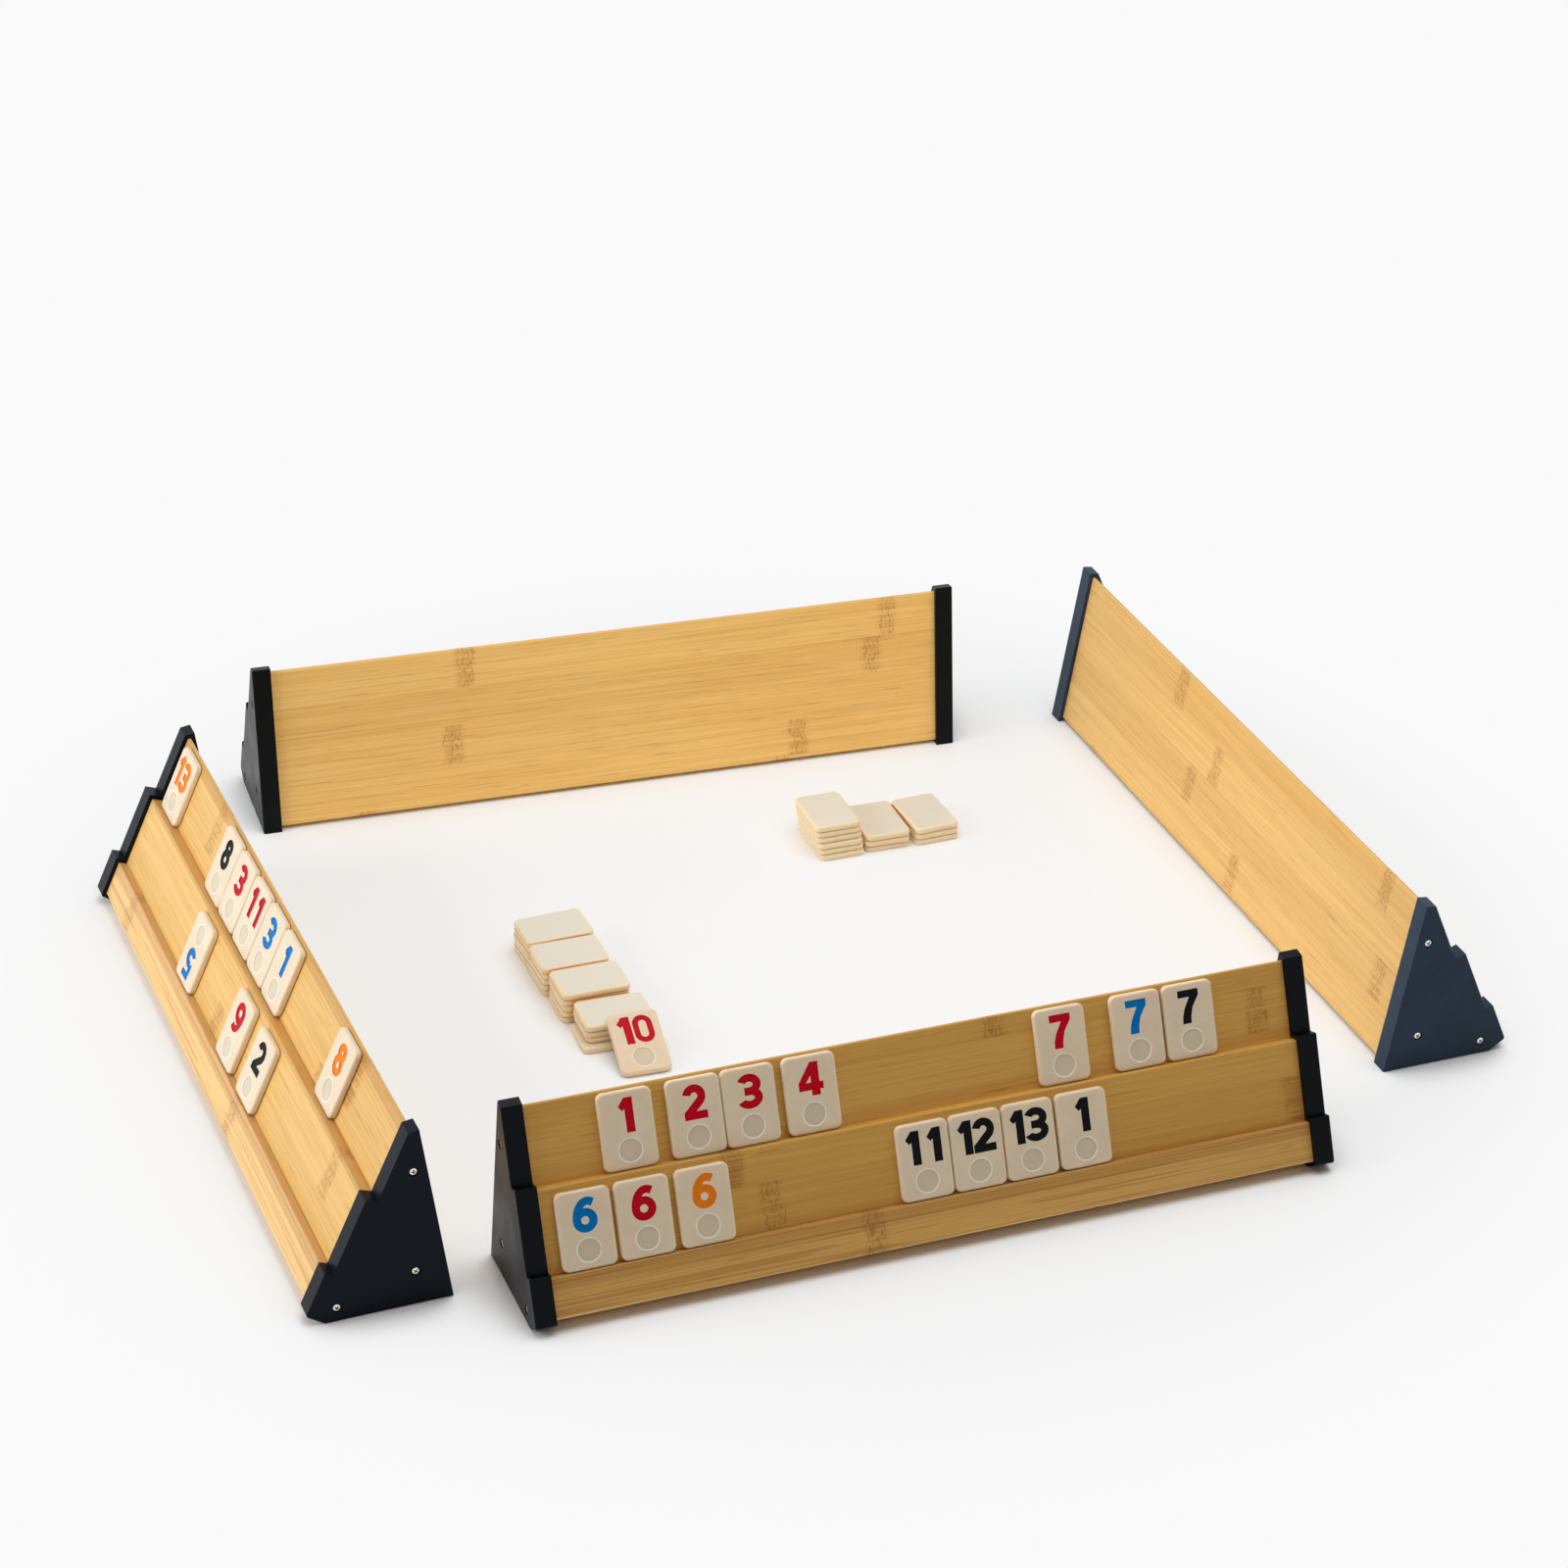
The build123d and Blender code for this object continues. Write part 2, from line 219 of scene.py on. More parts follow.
def solid_of(node, to_local):
    """A CAD node's mesh as clean flat faces, in a frame of its own."""
    shape = bmesh.new()
    shape.from_mesh(frame["nodes"][node].data)
    weld(shape)
    shape.transform(to_local)
    bmesh.ops.dissolve_limit(
        shape, angle_limit=FLAT, verts=shape.verts, edges=shape.edges, use_dissolve_boundaries=False
    )
    return shape


def weld(shape):
    bmesh.ops.remove_doubles(shape, verts=shape.verts, dist=WELD)


def islands(shape):
    """The separate solids of a mesh in the order of their faces, each as the list of its faces."""
    seen, found = set(), []
    for first in shape.faces:
        if first in seen:
            continue
        seen.add(first)
        island = [first]
        for face in island:
            for edge in face.edges:
                new = [other for other in edge.link_faces if other not in seen]
                seen.update(new)
                island += new
        found.append(island)
    return found


def soften(shape, width, chosen):
    """Rounds the chosen sharp edges of a mesh. Gives the faces that round them."""
    sharp = [edge for edge in shape.edges if edge.is_manifold and edge.calc_face_angle() > SHARP]
    edges = [edge for edge in sharp if chosen(edge)]
    return bmesh.ops.bevel(
        shape, geom=edges, offset=width, offset_type="OFFSET", segments=2, profile=0.5,
        affect="EDGES", clamp_overlap=True,
    )["faces"]


def shade(shape, crease=SHADED_SMOOTH):
    """Smooth shading, kept crisp where faces meet at more than this angle in degrees."""
    for face in shape.faces:
        face.smooth = True
    for edge in shape.edges:
        edge.smooth = edge.is_manifold and edge.calc_face_angle() < radians(crease)


def new_object(name, data):
    made = bpy.data.objects.new(name, data)
    bpy.context.scene.collection.objects.link(made)
    return made


def add_piece(name, shape, materials, node):
    """An object that stands for a CAD node, which it hides, and rides on the node's body."""
    mesh = bpy.data.meshes.new(name)
    shape.to_mesh(mesh)
    shape.free()
    for material in materials:
        mesh.materials.append(material)
    piece = new_object(name, mesh)
    even = piece.modifiers.new("Even shading", "WEIGHTED_NORMAL")
    even.keep_sharp = True
    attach(piece, frame["nodes"][node]["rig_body"])
    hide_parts(node)


def rack_place(rack):
    """Where a rack stands: its left end and back edge, with +X along it and -Y to its steps."""
    pulls = [joint for joint in frame["joints"] if joint["name"] == f"{rack}_rack_pull"]
    heading = atan2(pulls[0]["axis"][0], -pulls[0]["axis"][1]) if pulls else 0.0
    turn = Matrix.Rotation(heading, 4, "Z")
    back = turn.inverted()
    corners = [back @ vertex.co for cap in CAPS for vertex in frame["nodes"][f"{rack}_{cap}"].data.vertices]
    start = Vector((min(corner.x for corner in corners), max(corner.y for corner in corners), 0))
    return Matrix.Translation(turn @ start) @ turn


# Materials

def new_material(name):
    material = bpy.data.materials.new(name)
    material.use_nodes = True
    material.node_tree.nodes.clear()
    return material, material.node_tree


def add(tree, kind, sockets=None, **settings):
    """A node whose sockets are set to values or linked to the outputs of other nodes."""
    node = tree.nodes.new("ShaderNode" + kind)
    for name, value in settings.items():
        setattr(node, name, value)
    for name, value in (sockets or {}).items():
        if isinstance(value, bpy.types.NodeSocket):
            tree.links.new(value, node.inputs[name])
        else:
            node.inputs[name].default_value = value
    return node


def maths(tree, operation, *values):
    return add(tree, "Math", dict(enumerate(values)), operation=operation).outputs[0]


def times(tree, first, second):
    return maths(tree, "MULTIPLY", first, second)


def ramp(tree, value, low, high, to_low=0.0, to_high=1.0):
    """A soft step from one value to another as the input goes from low to high."""
    sockets = {"Value": value, "From Min": low, "From Max": high, "To Min": to_low, "To Max": to_high}
    return add(tree, "MapRange", sockets, interpolation_type="SMOOTHSTEP").outputs["Result"]


def between(tree, cloud, low, high):
    """Noise, most of which lies from 0.3 to 0.7, spread over another range."""
    return ramp(tree, cloud, 0.3, 0.7, low, high)


def mix(tree, factor, first, second):
    return add(tree, "Mix", {0: factor, 6: first, 7: second}, data_type="RGBA").outputs[2]


def rgba(colour):
    return (*colour, 1.0)


def scaled(tree, vector, scale):
    return add(tree, "VectorMath", {0: vector, 1: scale}, operation="MULTIPLY").outputs[0]


def brightened(tree, colour, factor):
    return add(tree, "VectorMath", {0: colour, "Scale": factor}, operation="SCALE").outputs[0]


def noise(tree, vector, detail=2.0, rough=0.5, phase=None):
    """Noise over a vector whose units are the size of one feature."""
    sockets = {"Vector": vector, "Scale": 1.0, "Detail": detail, "Roughness": rough}
    if phase is None:
        return add(tree, "TexNoise", sockets, noise_dimensions="3D").outputs["Fac"]
    sockets["W"] = phase
    return add(tree, "TexNoise", sockets, noise_dimensions="4D").outputs["Fac"]


def speckle(tree, per_metre, detail):
    """Even noise in a piece's own frame, with this many features to a metre."""
    place = add(tree, "TexCoord").outputs["Object"]
    return noise(tree, scaled(tree, place, (per_metre,) * 3), detail)


def openness(tree, reach, own_mesh_only):
    """1 on an open surface, down to 0 deep in a groove, as far as reach sees."""
    settings = {"only_local": own_mesh_only, "samples": 8}
    return add(tree, "AmbientOcclusion", {"Distance": reach}, **settings).outputs["AO"]


def bump(tree, height, distance, strength):
    sockets = {"Height": height, "Distance": distance, "Strength": strength}
    return add(tree, "Bump", sockets).outputs["Normal"]


def finish_surface(tree, sockets):
    """The surface shader, linked to the output."""
    surface = add(tree, "BsdfPrincipled", sockets)
    add(tree, "OutputMaterial", {"Surface": surface.outputs[0]})


# The bamboo's features: their length and width in metres, the noise's detail and its roughness
STREAKS = (0.11, 0.0012, 3.0, 0.55)
CLOUDS = (0.09, 0.009, 1.0, 0.5)
FINE_FIBRES = (0.045, 0.00035, 2.0, 0.6)
THIN_FIBRES = (0.032, 0.0007, 2.0, 0.6)
CONTOURS = (0.45, 0.0028, 1.0, 0.5)
CONTOUR_LINES = 5.0
CONTOUR_WIDTH = (0.20, 0.06)
VEIN_STRENGTH = 0.42
DASH_STRENGTH = 0.56
SMUDGE_STRENGTH = 0.60
SMUDGE_LESS_AT_KNOTS = -0.28
SEAM_WIDTH = 0.00022
SEAM_STRENGTH = 0.35
# A joint's dashes: how far its place wanders, and how far its columns bend, in columns
JOINT_WANDERS = 0.008
COLUMNS_BEND = 2.2
DASH_WIDTH = (0.24, 0.10)


def fibres(tree, grain, strip, kind):
    """Noise drawn out along the grain, in one of the kinds above."""
    long, wide, detail, rough = kind
    return noise(tree, scaled(tree, grain, (1 / long, 1 / wide, 1 / wide)), detail, rough, strip)


def lines_at(tree, turns, width):
    """Lines of this width that come back with each whole turn."""
    off_line = maths(tree, "ABSOLUTE", maths(tree, "SUBTRACT", maths(tree, "FRACT", turns), 0.5))
    return ramp(tree, off_line, *width)


def knot_pattern(tree, settings, grain, knot):
    """Where a bamboo joint marks its strip, and the columns of short dashes in it."""
    parts = add(tree, "SeparateXYZ", {0: knot})
    wobble = noise(tree, scaled(tree, grain, (130, 110, 110)), 2.0)
    from_joint = maths(tree, "SUBTRACT", parts.outputs[0], JOINT_WANDERS / 2)
    along = maths(tree, "MULTIPLY_ADD", wobble, JOINT_WANDERS, from_joint)
    away = maths(tree, "ABSOLUTE", along)
    patch = ramp(tree, away, 1.5 * settings.knot_reach, 0.2 * settings.knot_reach)
    core = ramp(tree, away, 1.05 * settings.knot_reach, 0.8 * settings.knot_reach)
    bend = noise(tree, scaled(tree, grain, (280, 240, 240)), 2.0)
    column = maths(tree, "DIVIDE", along, settings.knot_column)
    lines = lines_at(tree, maths(tree, "MULTIPLY_ADD", bend, COLUMNS_BEND, column), DASH_WIDTH)
    broken = ramp(tree, noise(tree, scaled(tree, grain, (600, 330, 330)), 1.0), 0.40, 0.52)
    dashes = times(tree, times(tree, lines, broken), core)
    knotted = parts.outputs[2]
    return patch, times(tree, dashes, maths(tree, "MULTIPLY_ADD", knotted, 0.5, 0.5)), knotted


def bamboo(name, settings, pale, deep, line, line_strength):
    """Strips of lacquered bamboo: fibres, streaks, brown veins, seams and joint marks, scaled by each rack's
    tone with its painted light and shade.
    """
    material, tree = new_material(name)
    layers = ("grain", "knot", "tone_and_painted_light")
    grain, knot, tone_and_painted_light = (add(tree, "Attribute", attribute_name=each).outputs["Vector"] for each in layers)
    strip = add(tree, "Attribute", attribute_name="strip").outputs["Fac"]
    patch, dashes, knotted = knot_pattern(tree, settings, grain, knot)

    kinds = (STREAKS, CLOUDS, FINE_FIBRES, THIN_FIBRES, CONTOURS)
    streaks, clouds, fine, thin, contours = (fibres(tree, grain, strip, kind) for kind in kinds)
    chance = add(tree, "TexWhiteNoise", {"W": strip}, noise_dimensions="1D").outputs["Value"]

    uneven = maths(tree, "MULTIPLY_ADD", clouds, 0.30, times(tree, chance, 0.1))
    depth = maths(tree, "MULTIPLY_ADD", streaks, 0.9, uneven)
    colour = mix(tree, ramp(tree, depth, 0.36, 0.98), rgba(pale), rgba(deep))
    veins = times(tree, ramp(tree, thin, 0.60, 0.70), VEIN_STRENGTH)
    colour = mix(tree, veins, colour, rgba(settings.vein))
    ridges = lines_at(tree, times(tree, contours, CONTOUR_LINES), CONTOUR_WIDTH)
    ridges = times(tree, ridges, line_strength)
    colour = mix(tree, ridges, colour, rgba(line))

    tone = ramp(tree, chance, 0.0, 1.0, 1 + 0.4 * settings.tone_change, 1 - settings.tone_change)
    tone = times(tree, tone, between(tree, fine, 0.94, 1.04))
    colour = brightened(tree, colour, tone)

    smudge = maths(tree, "MULTIPLY_ADD", knotted, SMUDGE_LESS_AT_KNOTS, SMUDGE_STRENGTH)
    smudge = times(tree, patch, smudge)
    smudge = times(tree, smudge, ramp(tree, streaks, 0.3, 0.6))
    colour = mix(tree, smudge, colour, rgba(settings.vein))
    colour = mix(tree, times(tree, dashes, DASH_STRENGTH), colour, rgba(settings.knot))
    across = add(tree, "SeparateXYZ", {0: grain}).outputs[1]
    seam = ramp(tree, across, SEAM_WIDTH, 0.0, 0.0, SEAM_STRENGTH)
    colour = mix(tree, seam, colour, rgba(settings.vein))
    # Each rack's tone with its painted light and shade, and the painted highlight on the long edges.
    colour = scaled(tree, colour, tone_and_painted_light)

    height = maths(tree, "MULTIPLY_ADD", dashes, -0.8, fine)
    finish_surface(tree, {
        "Base Color": colour,
        "Roughness": between(tree, thin, 0.38, 0.50),
        "Specular IOR Level": 0.22,
        "Coat Weight": 0.06,
        "Coat Roughness": 0.25,
        "Normal": bump(tree, height, 0.00006, 0.6),
    })
    return material


# The racks' caps are all one black plastic, but each rack's caps get their own colour, from black to navy:
# painted reflection and shade, as a factor on red, green and blue
CAP_PAINTED_LIGHT = {
    "near": (0.25, 0.18, 0.12),
    "left": (1.0, 1.0, 1.0),
    "right": (7.6, 7.8, 7.4),
    "far": (1.2, 0.8, 0.4),
}


def cap_plastic(settings, rack):
    """Satin black plastic with the fine grain of its mould, coloured for each rack with painted reflection
    and shade.
    """
    material, tree = new_material(f"cap_plastic_{rack}")
    grain = speckle(tree, 2600, 2.0)
    cloud = speckle(tree, 45, 3.0)
    roughness = between(tree, cloud, settings.roughness - 0.04, settings.roughness + 0.05)
    shade_change = between(tree, cloud, 0.88, 1.12)
    plastic = tuple(part * painted_factor for part, painted_factor in zip(settings.plastic, CAP_PAINTED_LIGHT[rack]))
    finish_surface(tree, {
        "Base Color": brightened(tree, plastic, shade_change),
        "Roughness": roughness,
        "Specular IOR Level": 0.11,
        "Specular Tint": (0.74, 0.86, 1.0, 1.0),
        "Normal": bump(tree, grain, 0.00003, 0.35),
    })
    return material


def screw_nickel(settings):
    """Bright plated steel, slightly brushed by the barrel it was plated in."""
    material, tree = new_material("screw_nickel")
    wear = speckle(tree, 1800, 3.0)
    finish_surface(tree, {
        "Base Color": rgba(settings.nickel),
        "Metallic": 1.0,
        "Roughness": between(tree, wear, 0.24, 0.40),
        "Normal": bump(tree, wear, 0.00002, 0.2),
    })
    return material


def screw_soil(settings):
    """The bottom of the cross recess, coloured dark as painted shade."""
    material, tree = new_material("screw_recess_painted_shade")
    shade_speckle = speckle(tree, 4000, 2.0)
    colour = mix(tree, shade_speckle, rgba(settings.soil), rgba(0.4 * part for part in settings.soil))
    finish_surface(tree, {"Base Color": colour, "Metallic": 0.4, "Roughness": 0.6})
    return material


# Painted shade: the plastic turns darker and warmer in grooves, as far as this reach and by this factor.
GROOVE_SHADE_REACH = 0.0026
GROOVE_PAINTED_SHADE = (0.84, 0.62, 0.38)


def tile_plastic(name, base):
    """Cast ivory plastic: light goes in a little, with faint clouds, a soft sheen and painted warm shade in
    the grooves between tiles.
    """
    material, tree = new_material(name)
    cloud = speckle(tree, 70, 3.0)
    peel = speckle(tree, 900, 2.0)
    tone = between(tree, cloud, 0.975, 1.02)
    colour = brightened(tree, base, tone)
    # Painted shade in the grooves between tiles of the same piece.
    groove = ramp(tree, openness(tree, GROOVE_SHADE_REACH, True), 0.95, 0.45)
    colour = mix(tree, groove, colour, rgba(part * painted_factor for part, painted_factor in zip(base, GROOVE_PAINTED_SHADE)))
    finish_surface(tree, {
        "Base Color": colour,
        "Subsurface Weight": 0.8,
        "Subsurface Radius": (1.0, 0.6, 0.36),
        "Subsurface Scale": 0.0020,
        "Roughness": between(tree, peel, 0.30, 0.38),
        "Specular IOR Level": 0.30,
        "Normal": bump(tree, peel, 0.00002, 0.25),
    })
    return material


def number_paint(name, base):
    """Thick paint in an engraved number, with a slightly uneven surface."""
    material, tree = new_material(f"{name}_paint")
    pool = speckle(tree, 600, 2.0)
    finish_surface(tree, {
        "Base Color": brightened(tree, base, between(tree, pool, 0.88, 1.08)),
        "Roughness": between(tree, pool, 0.32, 0.44),
        "Specular IOR Level": 0.08,
        "Normal": bump(tree, pool, 0.00004, 0.25),
    })
    return material


# Boards: for the strips of a board from its top edge down, the width of the first one and the
# places of the joints on each, in millimetres from the rack's left end
STRIPS = {
    "far_back_board": (22.5, [[291, 40], [50], [300], [95]]),
    "right_back_board": (22.5, [[278, 42], [225], [248, 29], [185]]),
    "near_upper_panel": (10.5, [[246], [385], [140]]),
    "near_lower_panel": (17.7, [[105], [123, 397]]),
    "near_front_rail": (30.0, [[170]]),
    "left_upper_panel": (28.0, [[89, 340], [305]]),
    "left_lower_panel": (25.0, [[365], [189]]),
    "left_front_rail": (30.0, [[50, 255]]),
}
# The joints where the strip is only darker, without dashes
SMUDGED = {("near_lower_panel", 105), ("near_lower_panel", 397), ("left_upper_panel", 340)}
FIRST_STRIP = (8, 22)

# The racks come from different batches of bamboo, and the factor also paints light and shade on them:
# darkest on the near rack, as if in shade, and lightest on the far one, as if lit. A factor on the red,
# green and blue of each
RACK_TONES_AND_PAINTED_LIGHT = {
    "near": (0.82, 0.73, 0.51),
    "left": (1.05, 1.05, 1.08),
    "right": (1.06, 1.07, 1.12),
    "far": (1.20, 1.23, 1.22),
}


# How strongly the growth lines show on the strips' faces and edges
FACE_LINES, EDGE_LINES = 0.10, 0.40
# The least factor along the boards' long edges: a painted highlight where their rounded edges catch the
# light
PAINTED_EDGE_HIGHLIGHT = (1.12, 1.16, 1.25)


def strips_of(board, settings, height):
    """Each strip of a board, as far as the board is high: its lower edge and its joints. A joint
    has 1 where its dashes show and 0 where the strip is only darker."""
    chance = random.Random(board)
    first, joints = STRIPS.get(board, (chance.uniform(*FIRST_STRIP), []))
    edge, strips = first * MM, []
    while not strips or strips[-1][0] < height:
        if len(strips) < len(joints):
            found = {place * MM: float((board, place) not in SMUDGED) for place in joints[len(strips)]}
        else:
            start = chance.uniform(0.02, settings.knot_spacing)
            found = {start: 1.0, start + settings.knot_spacing * chance.uniform(0.9, 1.1): 1.0}
        strips.append((edge, found))
        edge += settings.strip_width
    return strips


def face_down_direction(shape):
    """The direction down a board's widest upright face, and that face's normal."""
    upright = [face for face in shape.faces if abs(face.normal.z) < 0.7 and abs(face.normal.x) < 0.1]
    normal = max(upright, key=lambda face: face.calc_area()).normal.copy()
    down = normal.cross(Vector((1, 0, 0))).normalized()
    return (down if down.z < 0 else -down), normal


def cut(shape, faces, point, normal):
    """Cuts faces along a plane, without taking any away."""
    edges = {edge for face in faces for edge in face.edges}
    verts = {vert for face in faces for vert in face.verts}
    bmesh.ops.bisect_plane(
        shape, geom=list(verts) + list(edges) + list(faces), dist=SAME_PLACE, plane_co=point, plane_no=normal
    )


def lay_strips(shape, board, settings):
    """Divides a board into its bamboo strips and writes each strip's grain on its faces."""
    down, normal = face_down_direction(shape)
    top = min(vert.co.dot(down) for vert in shape.verts)
    height = max(vert.co.dot(down) for vert in shape.verts) - top
    strips = strips_of(board, settings, height)
    for edge, _ in strips[:-1]:
        cut(shape, list(shape.faces), down * (top + edge), down)

    def strip_at(point):
        across = point.dot(down) - top
        below = (number for number, (edge, _) in enumerate(strips) if across < edge)
        return next(below, len(strips) - 1)

    patch = 3 * settings.knot_reach
    for number, (_, joints) in enumerate(strips):
        for place in joints:
            for side in (-patch, patch):
                faces = [face for face in shape.faces if strip_at(face.calc_center_median()) == number]
                cut(shape, faces, Vector((place + side, 0, 0)), Vector((1, 0, 0)))

    grain = shape.loops.layers.float_vector.new("grain")
    strip = shape.loops.layers.float.new("strip")
    knot = shape.loops.layers.float_vector.new("knot")
    tone_and_painted_light = shape.loops.layers.float_vector.new("tone_and_painted_light")
    painted_highlight = shape.faces.layers.int["painted_highlight"]
    plain = RACK_TONES_AND_PAINTED_LIGHT[board.split("_")[0]]
    # Painted highlight: the rounded long edges are at least this much lighter.
    pale = tuple(map(max, plain, PAINTED_EDGE_HIGHLIGHT))
    seed = random.Random(board + " strips").uniform(0, 100)
    for face in shape.faces:
        middle = face.calc_center_median()
        number = strip_at(middle)
        edge, joints = strips[number]
        near = [place for place in joints if abs(middle.x - place) < patch]
        for loop in face.loops:
            point = loop.vert.co
            across = point.dot(down) - top - (edge - settings.strip_width)
            loop[grain] = (point.x, across, point.dot(normal))
            loop[strip] = seed + 3.7 * number
            loop[tone_and_painted_light] = pale if face[painted_highlight] else plain
            loop[knot] = (point.x - near[0], across, joints[near[0]]) if near else (1.0, across, 0.0)


def is_lengthwise(edge):
    along = (edge.verts[1].co - edge.verts[0].co).normalized()
    return abs(along.x) > 0.999 and edge.calc_length() > 0.05


def add_boards(settings):
    """The five bamboo boards of each rack."""
    face_colours = (settings.pale, settings.deep, settings.vein)
    edge_colours = (settings.rail, settings.pale, settings.rail_line)
    face_grain = bamboo("bamboo_face_grain", settings, *face_colours, FACE_LINES)
    edge_grain = bamboo("bamboo_edge_grain", settings, *edge_colours, EDGE_LINES)
    for rack in RACKS:
        place = rack_place(rack)
        for board in BOARDS:
            node = f"{rack}_{board}"
            shape = solid_of(node, place.inverted())
            # Painted highlight: the faces that round the long edges are marked to be coloured lighter.
            painted_highlight = shape.faces.layers.int.new("painted_highlight")
            for face in soften(shape, settings.edge_round, is_lengthwise):
                face[painted_highlight] = 1
            lay_strips(shape, node, settings)
            shade(shape)
            shape.transform(place)
            material = edge_grain if board == "front_rail" else face_grain
            add_piece(f"{node}_bamboo", shape, [material], node)


# Caps and screws

def add_caps(settings):
    """The moulded trays that close the ends of the racks."""
    for rack in RACKS:
        # Each rack's caps get a plastic with their own painted reflection and shade.
        plastic = cap_plastic(settings, rack)
        for cap in CAPS:
            node = f"{rack}_{cap}"
            shape = solid_of(node, Matrix.Identity(4))
            soften(shape, settings.edge_round, lambda edge: edge.calc_length() > 3 * MM)
            shade(shape)
            add_piece(f"{node}_moulding", shape, [plastic], node)


def circle(radius, count):
    turns = [2 * pi * step / count for step in range(count)]
    return [(radius * cos(turn), radius * sin(turn)) for turn in turns]


def ring_of_points(shape, place, radius, height, count):
    """A circle of vertices about Z, which place then carries to where it belongs."""
    return [shape.verts.new(place @ Vector((*point, height))) for point in circle(radius, count)]


def join_rings(shape, lower, upper, material=0):
    """A band of faces between two rings of the same count."""
    count = len(lower)
    for step in range(count):
        after = (step + 1) % count
        face = shape.faces.new((lower[step], lower[after], upper[after], upper[step]))
        face.material_index = material


def flat_with_cuts(outline, shapes):
    """A flat outline divided along shapes that lie in it. Gives the points and, for each triangle,
    its corners and the numbers of the shapes it is in."""
    points, loops = [], []
    for loop in [outline, *shapes]:
        area = sum(a[0] * b[1] - b[0] * a[1] for a, b in zip(loop, loop[1:] + loop[:1]))
        ordered = loop if area > 0 else loop[::-1]
        loops.append(list(range(len(points), len(points) + len(ordered))))
        points += [Vector(point) for point in ordered]
    points, _, triangles, _, _, inside = delaunay_2d_cdt(points, [], loops, 1, WELD)
    inside = [{number - 1 for number in found} for found in inside]
    return points, list(zip(triangles, inside))


def sunk_face(shape, place, outline, shapes, height_of, material_of):
    """A face whose parts of material 1 are sunk to level 1, with upright walls round them."""
    points, triangles = flat_with_cuts(outline, shapes)
    made, sides = {}, {}

    def corner(index, level):
        if (index, level) not in made:
            point = points[index]
            made[index, level] = shape.verts.new(place @ Vector((*point, height_of(point, level))))
        return made[index, level]

    for corners, found in triangles:
        material = material_of(found)
        level = int(material == 1)
        face = shape.faces.new([corner(index, level) for index in corners])
        face.material_index = material
        for a, b in zip(corners, corners[1:] + corners[:1]):
            sides.setdefault(frozenset((a, b)), []).append((level, material, a, b))
    for meeting in sides.values():
        if len(meeting) == 2 and meeting[0][0] != meeting[1][0]:
            (level, material, a, b), (other, other_material, _, _) = meeting
            wall = shape.faces.new([corner(b, level), corner(a, level), corner(a, other), corner(b, other)])
            wall.material_index = max(material, other_material)


ROWS_PER_TURN = 6
PAN_HEAD = [(1.0, 0.0), (1.0, 0.25), (0.97, 0.48), (0.90, 0.68), (0.80, 0.83), (0.68, 0.93)]


def add_screw(shape, place, settings):
    """A pan-head screw with a cross recess; +Z of place points out of the head, from under it."""
    radius, height = settings.head_radius, settings.head_height
    count = 24
    rings = [ring_of_points(shape, place, radius * wide, height * up, count) for wide, up in PAN_HEAD]
    for lower, upper in zip(rings, rings[1:]):
        join_rings(shape, lower, upper)
    rim = radius * PAN_HEAD[-1][0]
    reach, half = settings.cross_reach, settings.cross_width / 2
    cross = [(half, half), (half, reach), (-half, reach)]
    while len(cross) < 12:
        cross += [(-y, x) for x, y in cross[-3:]]

    def dome(point, level):
        crown = height * (1.0 - 0.07 * (point.length / rim) ** 2)
        return crown - level * settings.cross_depth * (1 - 0.45 * point.length / reach)

    sunk_face(shape, place, circle(rim, count), [cross], dome, lambda found: int(0 in found))

    per_turn = 12
    rows = int(settings.length / settings.pitch * ROWS_PER_TURN)
    before = ring_of_points(shape, place, settings.core_radius, 0.0, per_turn)
    join_rings(shape, before, ring_of_points(shape, place, radius, 0.0, per_turn))
    for row in range(1, rows + 1):
        down = settings.length * row / rows
        taper = min(1.0, 3.0 * (1 - row / rows) + 0.08)
        ring = []
        for step in range(per_turn):
            lead = (down / settings.pitch - step / per_turn) % 1.0
            crest = max(0.0, 1 - abs(lead - 0.5) * 4)
            wide = taper * (settings.core_radius + crest * (settings.thread_radius - settings.core_radius))
            turn = 2 * pi * step / per_turn
            ring.append(shape.verts.new(place @ Vector((wide * cos(turn), wide * sin(turn), -down))))
        join_rings(shape, ring, before)
        before = ring
    shape.faces.new(before[::-1])


def add_screws(settings):
    """The six screws of each rack, one piece for each rack."""
    materials = [screw_nickel(settings), screw_soil(settings)]
    for rack in RACKS:
        node = f"{rack}_cap_screws"
        along = rack_place(rack)
        solids = solid_of(node, along.inverted())
        shape = bmesh.new()
        corners = [vert.co.x for vert in solids.verts]
        middle = (min(corners) + max(corners)) / 2
        for number, island in enumerate(islands(solids)):
            points = [vert.co for face in island for vert in face.verts]
            low = Vector([min(point[axis] for point in points) for axis in range(3)])
            high = Vector([max(point[axis] for point in points) for axis in range(3)])
            outward = -1 if low.x < middle else 1
            end = low.x + settings.head_height if outward < 0 else high.x - settings.head_height
            centre = Vector((end, (low.y + high.y) / 2, (low.z + high.z) / 2))
            facing = Matrix.Rotation(outward * pi / 2, 4, "Y")
            turned = Matrix.Rotation(radians(17 + 41 * number), 4, "Z")
            add_screw(shape, along @ Matrix.Translation(centre) @ facing @ turned, settings)
        solids.free()
        bmesh.ops.remove_doubles(shape, verts=shape.verts, dist=SAME_PLACE)
        bmesh.ops.recalc_face_normals(shape, faces=shape.faces)
        shade(shape, 50)
        add_piece(f"{node}_nickel", shape, materials, node)


